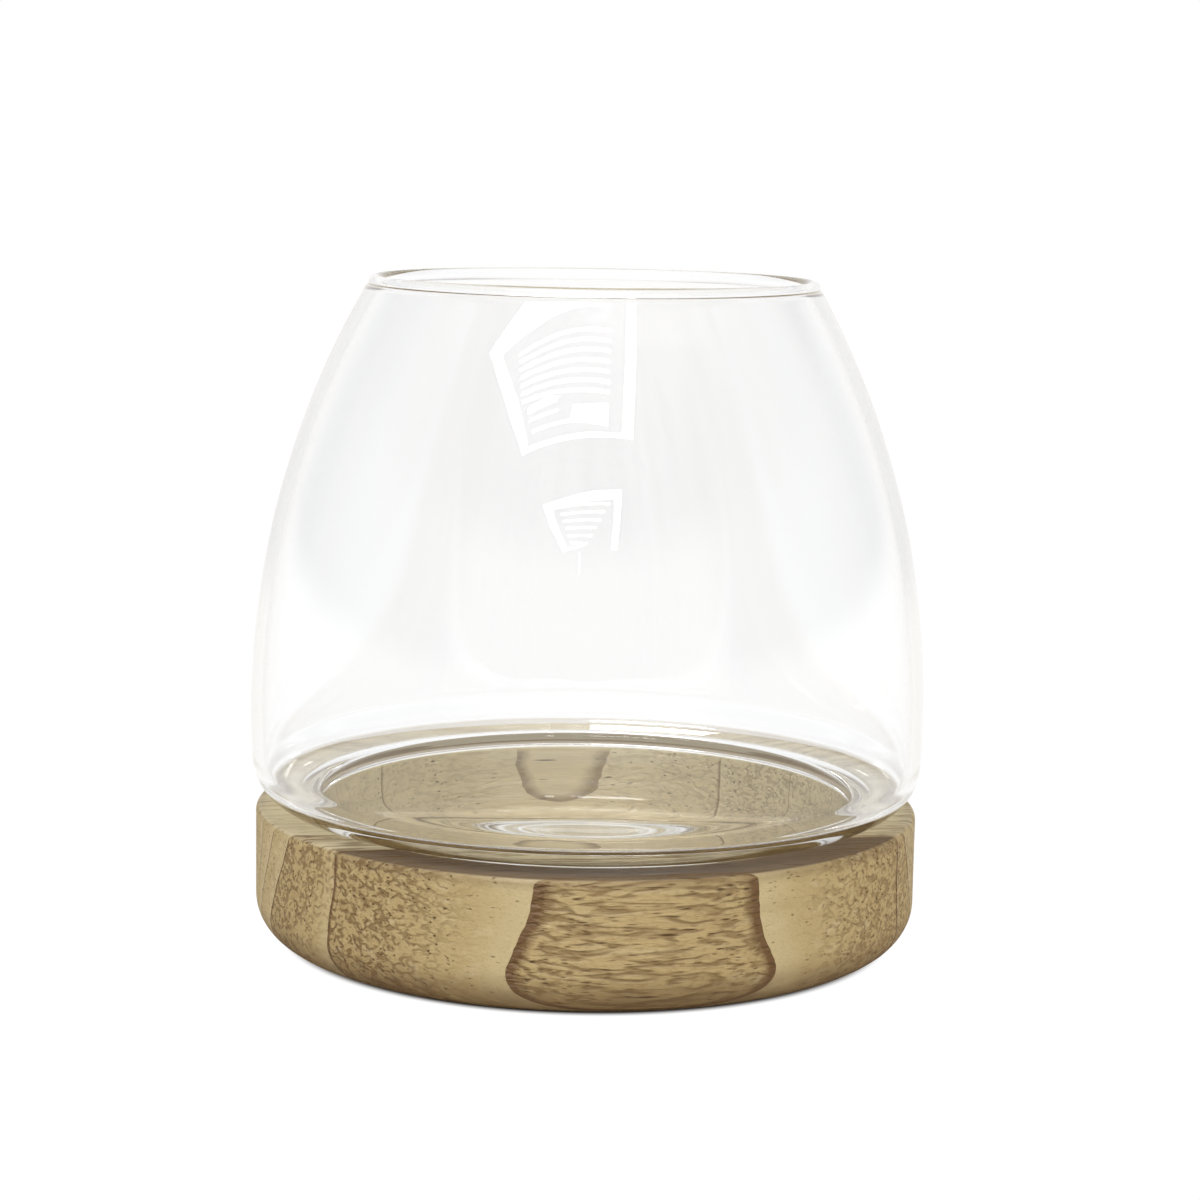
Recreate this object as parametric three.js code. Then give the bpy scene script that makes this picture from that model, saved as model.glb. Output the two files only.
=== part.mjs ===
// Glass vase standing in the recess of a turned wooden base.
// Millimetres, +Z up. The origin is the centre of the base's underside.

import * as THREE from 'three';

// Wooden base
const baseRadius = 100;
const baseHeight = 40.4;
const baseFloor = 15.4; // wood left under the recess
const baseRim = 15; // width of the ring around the recess
const baseBottomRound = 13.4;
const baseTopRound = 1.9;
const recessMouthRound = 1.2;
const recessCornerRound = 3;

// How the vase sits in the base
const seatGap = 0.3; // foot above the recess floor
const cupClearance = 1.5; // cup to the recess wall, all round
const shelfClearance = 1; // shelf above the base's ring
const bellyOverhang = 1.5; // how far the widest glass stands out past the base

// Vase wall, shoulder and lip
const glassWall = 3.5;
const vaseHeight = 183.6; // foot to lip
const bellyHeight = 27.6; // widest place above the shelf
const wallArcRadius = 257;
const shoulderRound = 14;
const lipRadius = 1.9;
const lipNeck = 2.3; // from the end of the wall to the middle of the lip

// Inside of the vase's heel and shelf
const heelRadius = 96.3;
const heelHeight = 6.1; // above the shelf's underside
const heelRound = 3;
const heelBlend = 30; // where the wall's inside starts to lean in to the heel
const shelfThickness = 3.6; // at the cup's mouth
const shelfOuterRound = 1.5;
const shelfInnerRound = 2;

// Vase cup and pushed-up bottom
const cupWall = 3;
const footRound = 12;
const cupFloor = 3;
const cupFloorRound = 13;
const domeEdge = 66; // radius where the cup's floor starts to rise
const domeTop = 36; // radius of the nearly level top of the rise
const domeRise = 7;
const kickEdge = 60; // radius where the underside leaves the foot
const kickTop = 30;
const kickRise = 4.5;

// Facets
const around = 64;
const chordError = 0.1;
const riseSteps = 8;

// Points of an arc in the profile plane, from angle a to angle b, in radians.
function arc(r, z, radius, a, b) {
  const widest = 2 * Math.acos(1 - chordError / radius);
  const steps = Math.max(2, Math.ceil(Math.abs(b - a) / widest));
  const points = [];
  for (let i = 0; i <= steps; i++) {
    const t = a + ((b - a) * i) / steps;
    points.push(new THREE.Vector2(r + radius * Math.cos(t), z + radius * Math.sin(t)));
  }
  return points;
}

// A square corner at (r, z) rounded off. The path arrives along direction a
// and leaves along direction b, each one of [1, 0], [-1, 0], [0, 1] and [0, -1].
function corner(r, z, radius, a, b) {
  const middle = [r + radius * (b[0] - a[0]), z + radius * (b[1] - a[1])];
  const start = Math.atan2(-b[1], -b[0]);
  const turn = a[0] * b[1] - a[1] * b[0];
  return arc(...middle, radius, start, start + (turn * Math.PI) / 2);
}

// The corner `at` rounded off, on a path that comes from `before` and goes on to `after`.
function bend(before, at, after, radius) {
  const a = Math.atan2(at[1] - before[1], at[0] - before[0]);
  const b = Math.atan2(after[1] - at[1], after[0] - at[0]);
  const turn = Math.atan2(Math.sin(b - a), Math.cos(b - a));
  const side = Math.sign(turn);
  const back = radius * Math.tan(Math.abs(turn) / 2);
  const r = at[0] - back * Math.cos(a) - side * radius * Math.sin(a);
  const z = at[1] - back * Math.sin(a) + side * radius * Math.cos(a);
  const start = a - (side * Math.PI) / 2;
  return arc(r, z, radius, start, start + turn);
}

// Height of a smooth rise that is level outside radius `edge` and inside radius `top`.
function rise(r, edge, top, height) {
  return height * (1 - THREE.MathUtils.smoothstep(r, top, edge));
}

// Points of such a rise on level z, from the outside in.
function risePoints(z, edge, top, height) {
  const points = [];
  for (let i = 0; i <= riseSteps; i++) {
    const r = edge + ((top - edge) * i) / riseSteps;
    points.push(new THREE.Vector2(r, z + rise(r, edge, top, height)));
  }
  points.push(new THREE.Vector2(0, z + height));
  return points;
}

// Turns a profile of radius and height about the Z axis.
function turned(points) {
  return new THREE.LatheGeometry(points, around).rotateX(Math.PI / 2);
}

const recessRadius = baseRadius - baseRim;

function baseProfile() {
  return [
    new THREE.Vector2(0, 0),
    ...corner(baseRadius, 0, baseBottomRound, [1, 0], [0, 1]),
    ...corner(baseRadius, baseHeight, baseTopRound, [0, 1], [-1, 0]),
    ...corner(recessRadius, baseHeight, recessMouthRound, [-1, 0], [0, -1]),
    ...corner(recessRadius, baseFloor, recessCornerRound, [0, -1], [-1, 0]),
    new THREE.Vector2(0, baseFloor),
  ];
}

// The vase's profile stands on its foot at height 0. It runs from the middle of
// the underside out and up the outside, over the lip, and down the inside.
function vaseProfile() {
  const cupRadius = recessRadius - cupClearance;
  const shelf = baseHeight - baseFloor + shelfClearance - seatGap;
  const belly = shelf + bellyHeight;
  const wallCentre = baseRadius + bellyOverhang - wallArcRadius;

  // The shoulder touches the shelf below it and the wall's arc above it.
  const shoulderHeight = shelf + shoulderRound;
  const reach = wallArcRadius - shoulderRound;
  const shoulderTilt = Math.asin((shoulderHeight - belly) / reach);
  const shoulderCentre = wallCentre + reach * Math.cos(shoulderTilt);

  // The lip's middle is on the middle of the wall, carried on past the wall's end.
  const wallMiddle = wallArcRadius - glassWall / 2;
  const lipHeight = vaseHeight - lipRadius;
  const lipTilt = Math.asin((lipHeight - belly) / wallMiddle);
  const lipCentre = wallCentre + wallMiddle * Math.cos(lipTilt);
  const wallEnd = lipTilt - lipNeck / wallMiddle;
  const neck = Math.PI / 4;

  const inside = wallArcRadius - glassWall;
  const onInside = (angle) => [wallCentre + inside * Math.cos(angle), belly + inside * Math.sin(angle)];
  const wallLow = shoulderTilt + 3 / inside;
  const leanIn = onInside(shoulderTilt);
  const heel = [heelRadius, shelf + heelHeight];
  const cupMouth = [cupRadius - cupWall, shelf + shelfThickness];
  const cupCorner = [cupRadius - cupWall, cupFloor];
  return [
    ...risePoints(0, kickEdge, kickTop, kickRise).reverse(),
    ...corner(cupRadius, 0, footRound, [1, 0], [0, 1]),
    ...corner(cupRadius, shelf, shelfOuterRound, [0, 1], [1, 0]),
    ...arc(shoulderCentre, shoulderHeight, shoulderRound, -Math.PI / 2, shoulderTilt),
    ...arc(wallCentre, belly, wallArcRadius, shoulderTilt, wallEnd).slice(1),
    ...arc(lipCentre, lipHeight, lipRadius, -neck + lipTilt, Math.PI + neck + lipTilt),
    ...arc(wallCentre, belly, inside, wallEnd, wallLow),
    ...bend(onInside(wallLow), leanIn, heel, heelBlend),
    ...bend(leanIn, heel, cupMouth, heelRound),
    ...bend(heel, cupMouth, cupCorner, shelfInnerRound),
    ...corner(...cupCorner, cupFloorRound, [0, -1], [-1, 0]),
    ...risePoints(cupFloor, domeEdge, domeTop, domeRise),
  ];
}

const wood = new THREE.MeshStandardMaterial({ color: 0xc9b389, roughness: 0.62, metalness: 0 });
const glass = new THREE.MeshStandardMaterial({
  color: 0xf2f5f3,
  roughness: 0.03,
  metalness: 0,
  transparent: true,
  opacity: 0.3,
});

const woodenBase = new THREE.Mesh(turned(baseProfile()), wood);
woodenBase.name = 'wooden_base';

const glassVase = new THREE.Mesh(turned(vaseProfile()), glass);
glassVase.name = 'glass_vase';
glassVase.position.z = baseFloor + seatGap;

const group = new THREE.Group();
group.add(woodenBase, glassVase);

export default group;
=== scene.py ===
import math

import bpy
import numpy as np
from mathutils import Matrix, Vector


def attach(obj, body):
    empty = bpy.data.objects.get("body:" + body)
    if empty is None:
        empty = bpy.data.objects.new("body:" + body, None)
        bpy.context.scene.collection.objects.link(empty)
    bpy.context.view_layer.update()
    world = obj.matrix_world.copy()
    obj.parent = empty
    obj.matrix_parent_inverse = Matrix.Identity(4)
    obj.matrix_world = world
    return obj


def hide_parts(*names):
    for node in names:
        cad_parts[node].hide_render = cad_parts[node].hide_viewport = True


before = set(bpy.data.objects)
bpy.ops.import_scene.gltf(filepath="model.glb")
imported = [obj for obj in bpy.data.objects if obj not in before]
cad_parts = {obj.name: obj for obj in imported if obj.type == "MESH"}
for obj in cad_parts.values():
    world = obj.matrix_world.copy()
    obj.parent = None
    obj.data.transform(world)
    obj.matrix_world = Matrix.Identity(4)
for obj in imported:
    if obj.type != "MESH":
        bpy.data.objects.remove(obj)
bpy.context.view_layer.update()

# The wooden base is one disc of pale, fast-grown wood, turned on a lathe, with
# a round recess in its top for the vase's cup. It is sanded and waxed, so the
# hard growth lines stand a hair proud of the softer wood and the pores stay open.
MM = 0.001
base_radius = 100.0
base_height = 40.4
base_floor = 15.4
base_rim = 15.0
bottom_round = 13.4
top_round = 1.9
mouth_round = 1.2
recess_corner = 3.0
recess_radius = base_radius - base_rim


def arc(r, z, radius, a, b, chord_error=0.004):
    """Points of an arc in the profile plane, from angle a to angle b."""
    widest = 2 * math.acos(1 - chord_error / radius)
    steps = max(6, math.ceil(abs(b - a) / widest))
    angles = np.linspace(a, b, steps + 1)
    return [(r + radius * math.cos(t), z + radius * math.sin(t)) for t in angles]


def corner(r, z, radius, a, b):
    """A square corner at (r, z) rounded off, from direction a to direction b."""
    middle = (r + radius * (b[0] - a[0]), z + radius * (b[1] - a[1]))
    start = math.atan2(-b[1], -b[0])
    turn = a[0] * b[1] - a[1] * b[0]
    return arc(*middle, radius, start, start + turn * math.pi / 2)


def spaced(profile, longest):
    """The profile with points put into its long straight runs."""
    points = [profile[0]]
    for (r0, z0), (r1, z1) in zip(profile, profile[1:]):
        length = math.hypot(r1 - r0, z1 - z0)
        if length < 1e-6:
            continue
        pieces = math.ceil(length / longest)
        for i in range(1, pieces + 1):
            points.append((r0 + (r1 - r0) * i / pieces, z0 + (z1 - z0) * i / pieces))
    return points


def turned(name, profile, around, shape=None):
    """Turns a profile about the Z axis into a closed, smooth mesh, in metres.

    shape takes the arrays of places and may move them before the mesh is made.
    """
    rows = np.array(profile[1:-1])
    turns = np.linspace(0, 2 * math.pi, around, endpoint=False)
    places = np.empty((len(rows), around, 3))
    places[:, :, 0] = rows[:, :1] * np.cos(turns)
    places[:, :, 1] = rows[:, :1] * np.sin(turns)
    places[:, :, 2] = rows[:, 1:]
    if shape is not None:
        places = shape(places)
    first, last = [(0, 0, profile[i][1]) for i in (0, -1)]
    verts = [first, *places.reshape(-1, 3).tolist(), last]
    end = len(verts) - 1
    faces = []
    for j in range(around):
        k = (j + 1) % around
        faces.append((0, 1 + k, 1 + j))
        for i in range(len(rows) - 1):
            low, high = 1 + i * around, 1 + (i + 1) * around
            faces.append((low + j, low + k, high + k, high + j))
        top = 1 + (len(rows) - 1) * around
        faces.append((top + j, top + k, end))
    mesh = bpy.data.meshes.new(name)
    mesh.from_pydata([Vector(v) * MM for v in verts], [], faces)
    mesh.shade_smooth()
    mesh.update()
    piece = bpy.data.objects.new(name, mesh)
    bpy.context.scene.collection.objects.link(piece)
    return piece


class Wire:
    """A socket in a material's nodes. Sums written with it add Math nodes."""

    def __init__(self, tree, socket=None):
        self.tree = tree
        self.socket = socket

    def node(self, kind, settings=(), sockets=(), out=0):
        """Adds a node, sets it up, fills its sockets and gives one of its outputs."""
        node = self.tree.nodes.new(kind)
        for name, value in dict(settings).items():
            setattr(node, name, value)
        for name, value in dict(sockets).items():
            if isinstance(value, Wire):
                self.tree.links.new(value.socket, node.inputs[name])
            else:
                node.inputs[name].default_value = value
        return Wire(self.tree, node.outputs[out] if node.outputs else None)

    def math(self, operation, *values):
        return self.node("ShaderNodeMath", {"operation": operation}, enumerate(values))

    def __add__(self, other):
        return self.math("ADD", self, other)

    def __radd__(self, other):
        return self.math("ADD", other, self)

    def __sub__(self, other):
        return self.math("SUBTRACT", self, other)

    def __rsub__(self, other):
        return self.math("SUBTRACT", other, self)

    def __mul__(self, other):
        return self.math("MULTIPLY", self, other)

    def __rmul__(self, other):
        return self.math("MULTIPLY", other, self)

    def __truediv__(self, other):
        return self.math("DIVIDE", self, other)

    def __rtruediv__(self, other):
        return self.math("DIVIDE", other, self)

    def __pow__(self, other):
        return self.math("POWER", self, other)

    def __gt__(self, other):
        return self.math("GREATER_THAN", self, other)

    def __lt__(self, other):
        return self.math("LESS_THAN", self, other)

    def __abs__(self):
        return self.math("ABSOLUTE", self)

    def sin(self):
        return self.math("SINE", self)

    def clip(self, low, high):
        return self.node("ShaderNodeClamp", {}, {"Value": self, "Min": low, "Max": high})


def ease(share):
    """A share from 0 to 1 that starts and stops gently."""
    return share * share * (3 - 2 * share)


# How the log lay in the lathe, in degrees and millimetres. A growth line is
# (across the fibres at the top face, its change for each millimetre along
# them, how far it leans back for each millimetre down, how dark it is, how
# wide, and how open the pores of the wood behind it are).
fibre_turn = math.radians(10.5)
front_lines = (
    (2.0, 0.0, 0.10, 0.6, 0.8, 0.3),
    (22.9, 0.085, 0.35, 0.8, 0.6, 0.2),
    (33.8, 0.085, 0.52, 0.9, 0.7, 0.2),
    (44.6, 0.085, 0.50, 1.0, 0.8, 0.9),
    (57.2, 0.0, 0.08, 1.0, 1.1, 1.0),
    (95.4, 0.0, 0.09, 1.0, 1.7, 0.85),
    (138.0, 0.0, 0.10, 1.0, 1.7, 1.0),
)
back_lines = (
    (2.0, 0.0, 0.10, 0.0, 0.8, 0.2),
    (-14.0, 0.02, 0.10, 0.3, 0.8, 0.2),
    (-38.0, 0.01, 0.10, 0.4, 0.8, 0.25),
    (-62.0, 0.0, 0.09, 0.6, 0.9, 0.25),
    (-83.5, 0.10, 0.09, 0.55, 0.7, 0.0),
    (-122.0, 0.0, 0.10, 1.0, 1.0, 1.0),
)


def in_log(x, y):
    """Millimetres across the fibres, towards the front, and along them."""
    across = x * math.sin(fibre_turn) - y * math.cos(fibre_turn)
    along = x * math.cos(fibre_turn) + y * math.sin(fibre_turn)
    return across, along


def wander(along, z):
    """How far the growth lines stray from straight, in millimetres."""
    slow = 0.42 * np.sin(0.21 * z - 4.1 + 0.012 * along)
    return slow + 0.35 * np.sin(0.11 * along + 0.05 * z + 1.3)


def growth(across, along, z):
    """The dark lines, the coarse early wood and the pale late wood, 0 to 1 each."""
    place = across - wander(along, z)
    dark = early = late = 0.0
    for sign, lines in ((1, front_lines), (-1, back_lines)):
        past = [
            sign * (place - (at + swing * along - lean * (base_height - z)))
            for at, swing, lean, _, _, _ in lines
        ]
        for inner, outer, line in zip(past, past[1:], lines):
            inside = (inner > 0) * (outer < 0)
            dark = dark + inside * line[3] * (1.5 - 1.5 * inner / line[4]).clip(0, 1)
            early = early + inside * line[5] * ease(((38 - inner) / 26).clip(0, 1))
            late = late + inside * ease((1 + outer / 7).clip(0, 1))
    return dark, early, late


def weathered(places):
    """Lets the soft early wood sink below the growth lines, always inwards."""
    x, y, z = places[..., 0], places[..., 1], places[..., 2]
    dark, early, late = growth(*in_log(x, y), z)
    radius = np.hypot(x, y)
    ripple = 0.5 + 0.5 * np.sin(1.9 * x + 0.7 * z) * np.sin(1.7 * y - 1.1 * z)
    sunk = early * (1 - dark) * (0.05 + 0.05 * ripple)
    outside = (radius > recess_radius + mouth_round) * (z > 0.2)
    scale = 1 - outside * sunk / np.maximum(radius, 1)
    return np.stack([x * scale, y * scale, z - outside * (z > base_height - 1) * sunk], axis=-1)


base_profile = spaced(
    [
        (0, 0),
        *corner(base_radius, 0, bottom_round, (1, 0), (0, 1)),
        *corner(base_radius, base_height, top_round, (0, 1), (-1, 0)),
        *corner(recess_radius, base_height, mouth_round, (-1, 0), (0, -1)),
        *corner(recess_radius, base_floor, recess_corner, (0, -1), (-1, 0)),
        (0, base_floor),
    ],
    longest=1.6,
)
base = turned("wooden_base_turned", base_profile, around=576, shape=weathered)

wood = bpy.data.materials.new("waxed pale wood")
wood.use_nodes = True
wood.node_tree.nodes.clear()
fibre = Wire(wood.node_tree)


def scaled(wire, factor):
    """A vector made longer or shorter."""
    return wire.node("ShaderNodeVectorMath", {"operation": "SCALE"}, {0: wire, "Scale": factor})


def split(wire):
    """The three parts of a vector or a colour."""
    parts = wire.node("ShaderNodeSeparateXYZ", {}, {0: wire})
    return [Wire(wire.tree, s) for s in parts.socket.node.outputs]


def joined(x, y, z):
    """A vector from its three parts."""
    return x.node("ShaderNodeCombineXYZ", {}, {0: x, 1: y, 2: z})


def noise(place, size, detail=2.0, roughness=0.5, distortion=0.0):
    """Cloudy noise about 0.5, with lumps of a size in the units of place."""
    return place.node(
        "ShaderNodeTexNoise",
        {"noise_dimensions": "3D"},
        {
            "Vector": place,
            "Scale": 1 / size,
            "Detail": detail,
            "Roughness": roughness,
            "Distortion": distortion,
        },
    )


def spots(place, size):
    """How far the nearest of many scattered points is, and its own random number."""
    sockets = {"Vector": place, "Scale": 1 / size, "Randomness": 1.0}
    near = place.node("ShaderNodeTexVoronoi", {"feature": "F1"}, sockets)
    colour = Wire(place.tree, near.socket.node.outputs["Color"])
    return near, split(colour)[0]


def tinted(under, over, share):
    """One colour changing into another as share goes from 0 to 1."""
    return share.node(
        "ShaderNodeMix", {"data_type": "RGBA"}, {0: share, 6: under, 7: over}, out=2
    )


def paint(red, green, blue):
    """A colour as screens give it, 0 to 255, in the numbers that materials take."""
    shares = [v / 255 for v in (red, green, blue)]
    return (*[v / 12.92 if v < 0.04045 else ((v + 0.055) / 1.055) ** 2.4 for v in shares], 1)


place = scaled(fibre.node("ShaderNodeTexCoord", out="Object"), 1000)
x, y, z = split(place)
across, along = in_log(x, y)
lengthwise = joined(along * 0.05, across, z)
strands = joined(along * 0.04, across, z)
crooked = across + 0.9 * (noise(lengthwise, 9) - 0.5) + 0.12 * (noise(lengthwise, 1.6) - 0.5)
dark, early, late = growth(crooked, along, z)
dark = dark.clip(0, 1)

vessels = joined(along * 0.13, across, z)
bent = 0.8 * (noise(strands, 1.1, detail=1) - 0.5)
pore_reach, pore_chance = spots(joined(along * 0.085, across + bent, z + bent), 1.7)
pores = (pore_chance < 0.07 + 0.7 * early - 0.07 * late) * (1.6 - pore_reach / 0.15).clip(0, 1)
speck_reach, speck_chance = spots(joined(along * 0.16, across - bent, z + bent), 0.95)
to_the_right = ((along - 50) / 20).clip(0, 1)
pitted = early * (1 - 0.8 * to_the_right) + 0.5 * to_the_right
specks = (speck_chance < 0.08 + 0.5 * pitted) * (1.5 - speck_reach / 0.24).clip(0, 1)
curls = (1.4 - 12 * abs(noise(vessels, 2.6, detail=1) - 0.5)).clip(0, 1)
curls = pitted * curls * (5 * (noise(vessels, 1.8, detail=0) - 0.33)).clip(0, 1)
streaks = noise(strands, 0.42, detail=3)
bands = noise(strands, 3.2, detail=3)
blotches = noise(joined(along * 0.15, across, z), 11, detail=2)
crumbs = noise(joined(along * 0.3, across, z), 0.9, detail=2.5)
stripes = noise(joined(along * 0.02, across, 0), 6, detail=1)
top_face = ease(((z - base_height + 0.7) / 0.5).clip(0, 1))

body = tinted(paint(198, 176, 126), paint(210, 191, 145), late)
body = tinted(body, paint(194, 167, 116), 0.6 * early * (0.5 + bands).clip(0, 1))
body = tinted(body, paint(165, 132, 84), (2.6 * (blotches - 0.58)).clip(0, 0.5))
body = tinted(body, paint(228, 212, 172), (2.2 * (bands - 0.56)).clip(0, 0.5))
body = tinted(body, paint(150, 120, 76), (1.8 * (streaks - 0.54)).clip(0, 0.4))
body = tinted(body, paint(152, 120, 74), (early * 3 * (crumbs - 0.52)).clip(0, 0.5))
# The front of the ring, past the growth line at 57 mm, is darker heartwood. It is painted darker still on
# its top face and the top of its side, as painted shade under the glass shoulder.
heartwood_and_shoulder_shade = ease(((crooked - 56) / 2).clip(0, 1))
near_top = ease(((z - base_height + 4.4) / 3).clip(0, 1))
axis_way = joined(x, y, 0)
from_axis = axis_way.node("ShaderNodeVectorMath", {"operation": "LENGTH"}, {0: axis_way}, "Value")
unwaxed = ease(((recess_radius + 1.2 - from_axis) / 1.4).clip(0, 1))
body = tinted(body, paint(233, 220, 188), 0.5 * (top_face + unwaxed * (1 - top_face)) * (1 - 0.8 * dark))
body = tinted(body, paint(176, 148, 106), 0.5 * top_face * ease((6 * (stripes - 0.5)).clip(0, 1)))
body = tinted(body, paint(92, 68, 44), heartwood_and_shoulder_shade * (0.3 * near_top + 0.6 * top_face))
dark = dark * (1 - 0.75 * ease(((z - base_height + 2.2) / 1.2).clip(0, 1)))
body = tinted(body, paint(104, 69, 31), (dark * (0.55 + crumbs)).clip(0, 0.92))
body = tinted(body, paint(116, 84, 40), 0.7 * curls)
body = tinted(body, paint(92, 64, 28), 0.9 * pores)
body = tinted(body, paint(112, 82, 38), 0.75 * specks)
# The wood is painted darker towards the bottom.
toward_bottom = ease(((16 - z) / 15).clip(0, 1))
body = tinted(body, paint(104, 74, 40), 0.8 * toward_bottom * (0.4 + bands))

relief = 0.35 * dark - 1.0 * pores - 0.7 * specks - 1.9 * curls + 0.3 * (streaks - 0.5)
relief = relief + (0.4 + 1.2 * early) * (crumbs - 0.5)
grain_bump = fibre.node(
    "ShaderNodeBump", {}, {"Strength": 0.9, "Distance": 0.3 * MM, "Height": relief}
)
gloss = 0.56 + 0.14 * early - 0.1 * dark + 0.2 * pores + 0.12 * (streaks - 0.5)
surface = fibre.node(
    "ShaderNodeBsdfPrincipled",
    {},
    {"Base Color": body, "Roughness": gloss.clip(0, 1), "Normal": grain_bump, "IOR": 1.46},
)
fibre.node("ShaderNodeOutputMaterial", {}, {"Surface": surface})
base.data.materials.append(wood)

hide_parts("wooden_base")
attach(base, "base")

# The vase is one piece of blown clear glass: a wall that bulges and draws in to
# a fire-polished lip, a round shoulder, a flat shelf that clears the wooden
# ring, and a shallow cup, pushed up in the middle, that stands in the recess.
seat = base_floor + 0.3
wall = 3.5
cup_radius = recess_radius - 1.5
shelf = base_height + 1
belly = shelf + 27.6
vase_top = seat + 183.6
wall_arc = 257.0
wall_centre = base_radius + 1.5 - wall_arc
shoulder_round = 14.0
lip_round = 1.9
lip_neck = 2.3
heel_inside = (96.3, shelf + 6.1)
heel_round = 3.0
heel_blend = 30.0
cup_inside = cup_radius - 3.0
cup_mouth = (cup_inside, shelf + 3.6)
cup_bottom = (cup_inside, seat + 3.0)
foot_round, cup_round = 12.0, 13.0
dome_edge, dome_top, dome_rise = 66.0, 36.0, 7.0
kick_edge, kick_top, kick_rise = 60.0, 30.0, 4.5


def bend(before, at, after, radius):
    """The corner at a place rounded off, between the places before and after it."""
    a = math.atan2(at[1] - before[1], at[0] - before[0])
    b = math.atan2(after[1] - at[1], after[0] - at[0])
    turn = math.remainder(b - a, 2 * math.pi)
    side = math.copysign(1, turn)
    back = radius * math.tan(abs(turn) / 2)
    r = at[0] - back * math.cos(a) - side * radius * math.sin(a)
    z = at[1] - back * math.sin(a) + side * radius * math.cos(a)
    start = a - side * math.pi / 2
    return arc(r, z, radius, start, start + turn)


def rise(level, edge, top, height, steps=40):
    """Points of a smooth rise in a level floor, from the outside in."""
    points = []
    for r in np.linspace(edge, top, steps + 1):
        points.append((r, level + height * (1 - ease((r - top) / (edge - top)))))
    return [*points, (0, level + height)]


shoulder_height = shelf + shoulder_round
reach = wall_arc - shoulder_round
shoulder_tilt = math.asin((shoulder_height - belly) / reach)
shoulder_centre = wall_centre + reach * math.cos(shoulder_tilt)
wall_middle = wall_arc - wall / 2
lip_height = vase_top - lip_round
lip_tilt = math.asin((lip_height - belly) / wall_middle)
lip_centre = wall_centre + wall_middle * math.cos(lip_tilt)
wall_end = lip_tilt - lip_neck / wall_middle
wall_inside = wall_arc - wall
wall_low = shoulder_tilt + 3 / wall_inside
wall_foot, lean_in = [
    (wall_centre + wall_inside * math.cos(t), belly + wall_inside * math.sin(t))
    for t in (wall_low, shoulder_tilt)
]
down = -math.pi / 2
neck = math.pi / 4
vase_profile = spaced(
    [
        *rise(seat, kick_edge, kick_top, kick_rise)[::-1],
        *corner(cup_radius, seat, foot_round, (1, 0), (0, 1)),
        *corner(cup_radius, shelf, 1.5, (0, 1), (1, 0)),
        *arc(shoulder_centre, shoulder_height, shoulder_round, down, shoulder_tilt),
        *arc(wall_centre, belly, wall_arc, shoulder_tilt, wall_end),
        *arc(lip_centre, lip_height, lip_round, lip_tilt - neck, lip_tilt + math.pi + neck),
        *arc(wall_centre, belly, wall_inside, wall_end, wall_low),
        *bend(wall_foot, lean_in, heel_inside, heel_blend),
        *bend(lean_in, heel_inside, cup_mouth, heel_round),
        *bend(heel_inside, cup_mouth, cup_bottom, 2),
        *corner(*cup_bottom, cup_round, (0, -1), (-1, 0)),
        *rise(cup_bottom[1], dome_edge, dome_top, dome_rise),
    ],
    longest=1.5,
)
vase = turned("glass_vase_blown", vase_profile, around=360)

glass = bpy.data.materials.new("clear blown glass")
glass.use_nodes = True
glass.node_tree.nodes.clear()
pane = Wire(glass.node_tree)
spot = scaled(pane.node("ShaderNodeTexCoord", out="Object"), 1000)
sx, sy, sz = split(spot)
waves = noise(joined(sx, sy, sz * 0.35), 26, detail=1)
hand_bump = pane.node(
    "ShaderNodeBump", {}, {"Strength": 0.35, "Distance": 0.2 * MM, "Height": waves}
)
smudges = noise(spot, 18, detail=3)
clear = pane.node(
    "ShaderNodeBsdfPrincipled",
    {},
    {
        "Base Color": (1, 1, 1, 1),
        "Roughness": (0.05 * (smudges - 0.5)).clip(0, 0.03),
        "Normal": hand_bump,
        "IOR": 1.5,
        "Transmission Weight": 1.0,
    },
)
for_lamps = pane.node("ShaderNodeLightPath", out="Is Shadow Ray")
for_bounces = pane.node("ShaderNodeLightPath", out="Is Diffuse Ray")
turned_inside = pane.node("ShaderNodeLightPath", out="Glossy Depth") > 2.5
around_axis = joined(sx, sy, 0)
off_axis = around_axis.node("ShaderNodeVectorMath", {"operation": "LENGTH"}, {0: around_axis}, "Value")
bent_away = ease(((off_axis - 95) / 4).clip(0, 1)) * ease(((72 - sz) / 8).clip(0, 1))
lets_through = pane.node("ShaderNodeBsdfTransparent", {}, {"Color": (0.985, 0.99, 0.987, 1)})
shades = pane.node("ShaderNodeBsdfTransparent", {}, {"Color": (0.5, 0.5, 0.5, 1)})
# A ray that has met the glass three times goes on straight, dimmed and tinted tan. This is painted shade
# where rays are caught in the glass.
tired = pane.node("ShaderNodeBsdfTransparent", {}, {"Color": (0.72, 0.66, 0.57, 1)})
light_through = pane.node("ShaderNodeMixShader", {}, {0: bent_away, 1: lets_through, 2: shades})
# A cloudy whitish ring on the slope of the pushed-up bottom is a painted highlight. It is rough white glass
# that lets no light through, put where light is caught in the glass.
ring_side = ease(((37.5 - off_axis) / 4).clip(0, 1)) * ease(((off_axis - 6) / 16).clip(0, 1))
swirls = noise(joined(off_axis, sx * 0.07, sy * 0.07), 2.6, detail=2)
glint_ring = ring_side * (sz > 21) * (sz < 30) * (0.5 + 3.2 * (swirls - 0.5)).clip(0.08, 0.9)
glint_ring_finish = pane.node(
    "ShaderNodeBsdfPrincipled",
    {},
    {"Base Color": (0.93, 0.94, 0.95, 1), "Roughness": 0.2, "IOR": 1.5},
)
blown = pane.node("ShaderNodeMixShader", {}, {0: glint_ring, 1: clear, 2: glint_ring_finish})
seen_through = pane.node("ShaderNodeMixShader", {}, {0: turned_inside, 1: blown, 2: tired})
unseen = (for_bounces + for_lamps * (1 - 0.9 * bent_away)).clip(0, 1)
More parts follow.
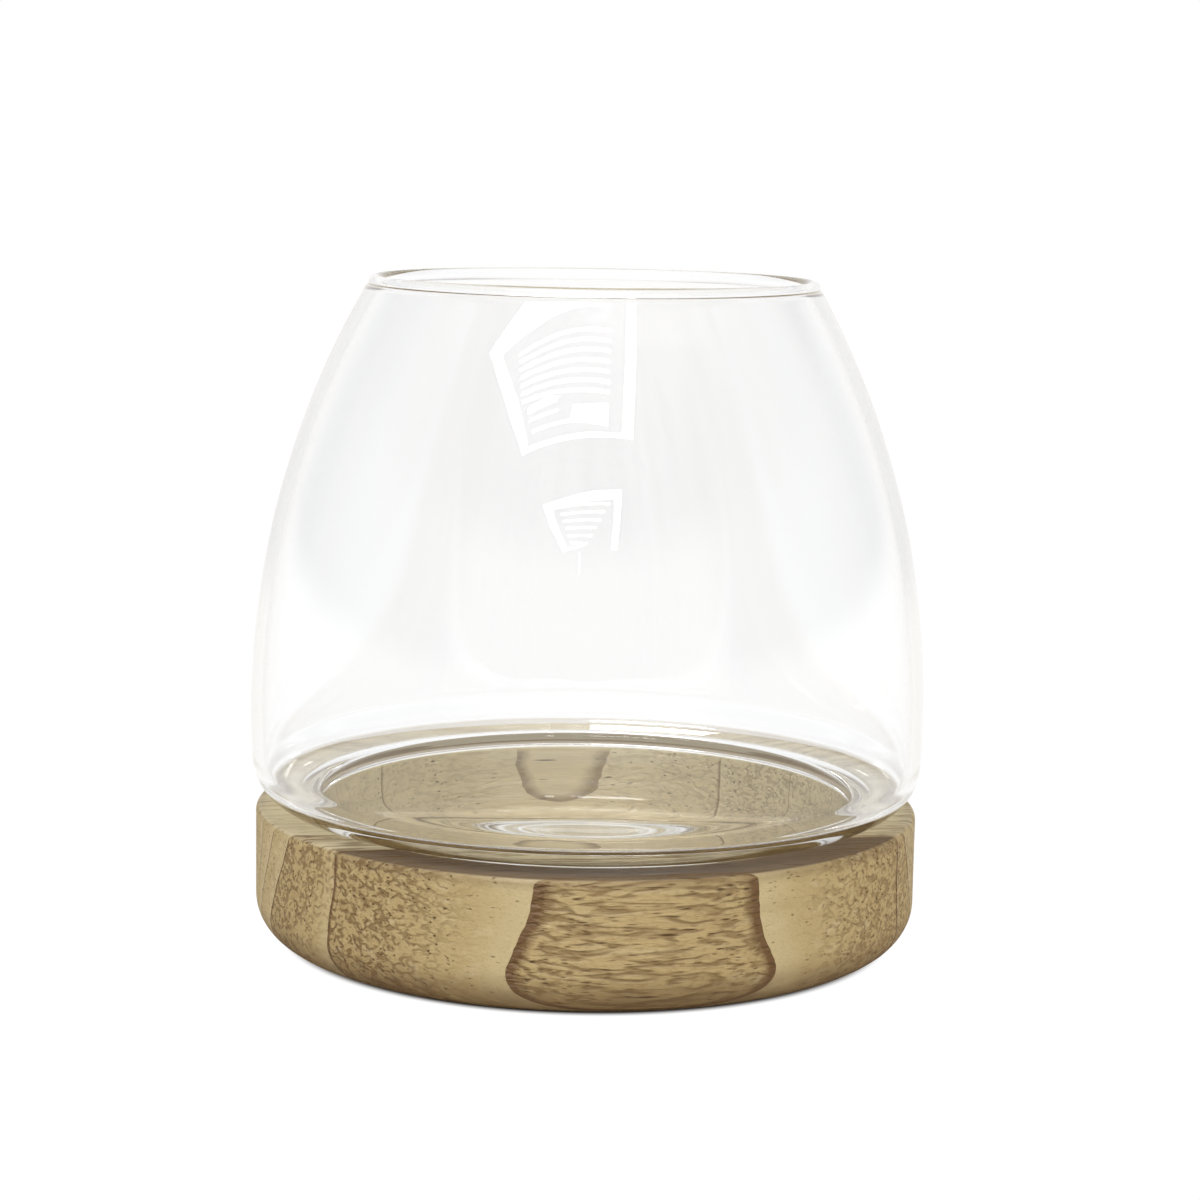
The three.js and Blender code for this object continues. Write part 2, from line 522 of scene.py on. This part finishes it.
body_glass = pane.node(
    "ShaderNodeMixShader", {}, {0: unseen, 1: seen_through, 2: light_through}
)
tint = pane.node(
    "ShaderNodeVolumeAbsorption", {}, {"Color": (0.75, 0.86, 0.85, 1), "Density": 5.0}
)
pane.node("ShaderNodeOutputMaterial", {}, {"Surface": body_glass, "Volume": tint})
vase.data.materials.append(glass)

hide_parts("glass_vase")
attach(vase, "vase")

# The studio: a plain white floor and surround, four soft lamps for the wood, two
# lit windows that only the glass's shine shows, and the camera, a little above
# the mouth and tilted down.
floor_mesh = bpy.data.meshes.new("floor")
floor_reach = 4.0
floor_mesh.from_pydata(
    [(floor_reach * a, floor_reach * b, -0.05 * MM) for a, b in ((-1, -1), (1, -1), (1, 1), (-1, 1))],
    [],
    [(0, 1, 2, 3)],
)
floor = bpy.data.objects.new("floor", floor_mesh)
bpy.context.scene.collection.objects.link(floor)

paper = bpy.data.materials.new("white paper")
paper.use_nodes = True
paper.node_tree.nodes.clear()
sheet = Wire(paper.node_tree)
spread = sheet.node("ShaderNodeTexCoord", out="Object")
far = sheet.node("ShaderNodeVectorMath", {"operation": "LENGTH"}, {0: spread}, out="Value")
lit = sheet.node("ShaderNodeEmission", {}, {"Color": (1, 1, 1, 1), "Strength": 1.03})
matt = sheet.node("ShaderNodeBsdfDiffuse", {}, {"Color": (0.84, 0.8, 0.73, 1)})
seen = sheet.node("ShaderNodeLightPath", out="Is Camera Ray")
mirrored = sheet.node("ShaderNodeLightPath", out="Is Glossy Ray")
refracted = sheet.node("ShaderNodeLightPath", out="Is Transmission Ray")
beside = ease(((far - 0.0885) / 0.005).clip(0, 1))
beyond = ease(((far - 0.16) / 0.09).clip(0, 1))
through_glass = (mirrored + refracted).clip(0, 1)
shown = seen * beside + (1 - seen) * through_glass * beyond
white_floor = sheet.node("ShaderNodeMixShader", {}, {0: shown, 1: matt, 2: lit})
sheet.node("ShaderNodeOutputMaterial", {}, {"Surface": white_floor})
floor_mesh.materials.append(paper)

world = bpy.data.worlds.new("studio")
world.use_nodes = True
world.node_tree.nodes.clear()
bpy.context.scene.world = world
air = Wire(world.node_tree)
heading = air.node("ShaderNodeTexCoord", out="Generated")
to_right, to_back, lift = split(heading)
camera_ray = air.node("ShaderNodeLightPath", out="Is Camera Ray")
glossy_ray = air.node("ShaderNodeLightPath", out="Is Glossy Ray")
through_ray = air.node("ShaderNodeLightPath", out="Is Transmission Ray")
plain_light = 0.33
level = (1.0001 - lift * lift) ** 0.5
in_front = ease((-0.8 * to_back / level + 0.3).clip(0, 1))
curtains = noise(joined(to_right / level, to_back / level, 0.15 * lift), 0.16, detail=2)
dim = (0.76 - 0.5 * in_front + 1.9 * (curtains - 0.5)).clip(0.08, 1)
ceiling = ease(((lift - 0.62) / 0.25).clip(0, 1))
room = dim + (1.03 - dim) * ease(((0.44 - lift) / 0.18).clip(0, 1))
at_sides = ease(((abs(to_right) / level - 0.6) / 0.3).clip(0, 1))
at_sides = at_sides * ease(((lift + 0.02) / 0.1).clip(0, 1)) * ease(((0.75 - lift) / 0.25).clip(0, 1))
room = room * (1 - 0.65 * at_sides)
by_glass = (glossy_ray + through_ray).clip(0, 1)
strength = camera_ray + (1 - camera_ray) * (by_glass * room + (1 - by_glass) * plain_light)
above = tinted((1, 1, 1, 1), (0.965, 0.965, 1, 1), (1 - camera_ray) * by_glass * (3 * (1 - room)).clip(0, 1))
above = tinted(above, (0.5, 0.43, 0.33, 1), by_glass * (1 - camera_ray) * ceiling)
strength = strength + (1 - strength) * by_glass * ceiling
sky = air.node("ShaderNodeBackground", {}, {"Color": above, "Strength": strength})
air.node("ShaderNodeOutputWorld", {}, {"Surface": sky})


def lamp(name, at, aim, side, watts):
    """A square soft lamp of a given side in metres, turned towards a place."""
    light = bpy.data.lights.new(name, "AREA")
    light.size = side
    light.energy = watts
    holder = bpy.data.objects.new(name, light)
    holder.location = at
    turn = Vector(aim) - Vector(at)
    holder.rotation_euler = turn.to_track_quat("-Z", "Y").to_euler()
    holder.visible_glossy = False
    holder.visible_transmission = False
    bpy.context.scene.collection.objects.link(holder)


lamp("lamp_left", (-1.46, -0.84, 1.41), (0, 0, 0.03), 0.9, 10.5)
lamp("lamp_right", (1.46, -0.84, 1.41), (0, 0, 0.03), 0.9, 9.5)
lamp("lamp_front", (0.0, -1.0, 1.9), (0, 0, 0.03), 0.9, 16.0)
lamp("lamp_back", (0.3, 1.3, 1.7), (0, 0, 0.03), 0.9, 10.0)

window_distance = 2500.0
window_target = Vector((0, 0, 100))


def window_panel(name, turn, tilt, strips, strength, colour=(1, 1, 1, 1), away=0.0):
    """Lit strips on a plane that faces the vase, from turn degrees round and tilt up.

    A strip is four corners, millimetres right and up as seen from the vase.
    """
    turn, tilt = math.radians(turn), math.radians(tilt)
    ahead = Vector((math.sin(turn) * math.cos(tilt), -math.cos(turn) * math.cos(tilt), math.sin(tilt)))
    right = Vector((math.cos(turn), math.sin(turn), 0))
    up = right.cross(ahead)
    if up.z < 0:
        up = -up
    verts, faces = [], []
    for strip in strips:
        faces.append(range(len(verts), len(verts) + len(strip)))
        for u, v in strip:
            middle = window_target + (window_distance + away) * ahead
            verts.append((middle + right * u + up * v) * MM)
    mesh = bpy.data.meshes.new(name)
    mesh.from_pydata(verts, [], faces)
    panel = bpy.data.objects.new(name, mesh)
    bpy.context.scene.collection.objects.link(panel)
    panel.visible_camera = panel.visible_diffuse = panel.visible_shadow = False
    panel.visible_transmission = False
    glow = bpy.data.materials.new(name)
    glow.use_nodes = True
    glow.node_tree.nodes.clear()
    source = Wire(glow.node_tree)
    light = source.node("ShaderNodeEmission", {}, {"Color": colour, "Strength": strength})
    source.node("ShaderNodeOutputMaterial", {}, {"Surface": light})
    mesh.materials.append(glow)


def between(a, b, share):
    """The point a share of the way from a to b."""
    return (a[0] + (b[0] - a[0]) * share, a[1] + (b[1] - a[1]) * share)


def slats(left, right, count, thick):
    """Slanting slats whose ends run down two lines, each given top to bottom."""
    made = []
    for i in range(count):
        a = between(*left, i / (count - 1))
        b = between(*right, i / (count - 1))
        made.append([a, b, (b[0], b[1] + thick), (a[0], a[1] + thick)])
    return made


big_window = [
    [(760, -250), (940, -225), (940, 850), (760, 850)],
    [(-770, -420), (940, -228), (940, -198), (-770, -385)],
    [(-1585, 445), (-1146, -4), (-772, -420), (-690, -350), (-905, -40), (-1290, 342)],
    [(-1585, 445), (-1290, 342), (494, 600), (200, 850), (-700, 850), (-963, 667)],
    [(-31, -115), (520, -55), (530, -203), (-60, -225)],
    [(-720, -160), (-720, -110), (-400, -60), (-227, -62), (-300, -100)],
    *slats([(-950, 262), (-830, -80)], [(494, 416), (530, 7)], 7, 24),
    *slats([(-700, -215), (-640, -290)], [(-250, -160), (-60, -225)], 2, 20),
]
window_panel("big_window", -8, 43, big_window, 18.0)
glow_between = [[(-1250, 380), (-770, -400), (800, -230), (800, 640)]]
window_panel("big_window_glow", -8, 43, glow_between, 0.9, colour=(0.86, 0.8, 1, 1), away=20)
small_window = [
    [(-624, 105), (-75, 159), (549, 212), (535, 150), (-75, 105), (-590, 55)],
    [(-624, 105), (-503, -39), (-299, -199), (-236, -180), (-400, -30), (-500, 100)],
    [(549, 212), (523, 20), (486, -170), (400, -170), (430, 20), (450, 200)],
    [(-299, -199), (46, -154), (46, -138), (-280, -180)],
    *slats([(-390, 72), (-190, -150)], [(369, 100), (46, -154)], 6, 15),
    [(-64, -205), (-52, -205), (-55, -330), (-61, -330)],
]
window_panel("small_window", -2, 24, small_window, 18.0)

# A narrow card behind the vase glows with its own light, though it is no lamp. It is a painted highlight
# that shows only in reflections, as the bright streak on the back of the glass shelf.
card_mesh = bpy.data.meshes.new("bright_card")
card_corners = [(0.0, 300.0, 158.0), (40.0, 300.0, 158.0), (40.0, 300.0, 187.0), (0.0, 300.0, 187.0)]
card_mesh.from_pydata([Vector(v) * MM for v in card_corners], [], [(0, 1, 2, 3)])
card = bpy.data.objects.new("bright_card", card_mesh)
bpy.context.scene.collection.objects.link(card)
card.visible_camera = card.visible_diffuse = card.visible_shadow = False
card_glow = bpy.data.materials.new("bright card")
card_glow.use_nodes = True
card_glow.node_tree.nodes.clear()
glowing = Wire(card_glow.node_tree)
card_light = glowing.node("ShaderNodeEmission", {}, {"Color": (1, 1, 1, 1), "Strength": 9.0})
card_air = glowing.node("ShaderNodeBsdfTransparent", {}, {"Color": (1, 1, 1, 1)})
bounced = glowing.node("ShaderNodeLightPath", out="Glossy Depth") > 0.5
card_face = glowing.node("ShaderNodeMixShader", {}, {0: bounced, 1: card_air, 2: card_light})
glowing.node("ShaderNodeOutputMaterial", {}, {"Surface": card_face})
card_mesh.materials.append(card_glow)

camera_data = bpy.data.cameras.new("camera")
camera_data.sensor_width = 36.0
camera_data.lens = 90.01
camera = bpy.data.objects.new("camera", camera_data)
tilt_down = Matrix.Rotation(math.radians(81.309), 4, "X")
roll = Matrix.Rotation(math.radians(0.973), 4, "Z")
camera.matrix_world = Matrix.Translation((0.003262, -0.89575, 0.23924)) @ tilt_down @ roll
bpy.context.scene.collection.objects.link(camera)
bpy.context.scene.camera = camera
bpy.context.scene.view_settings.view_transform = "Standard"
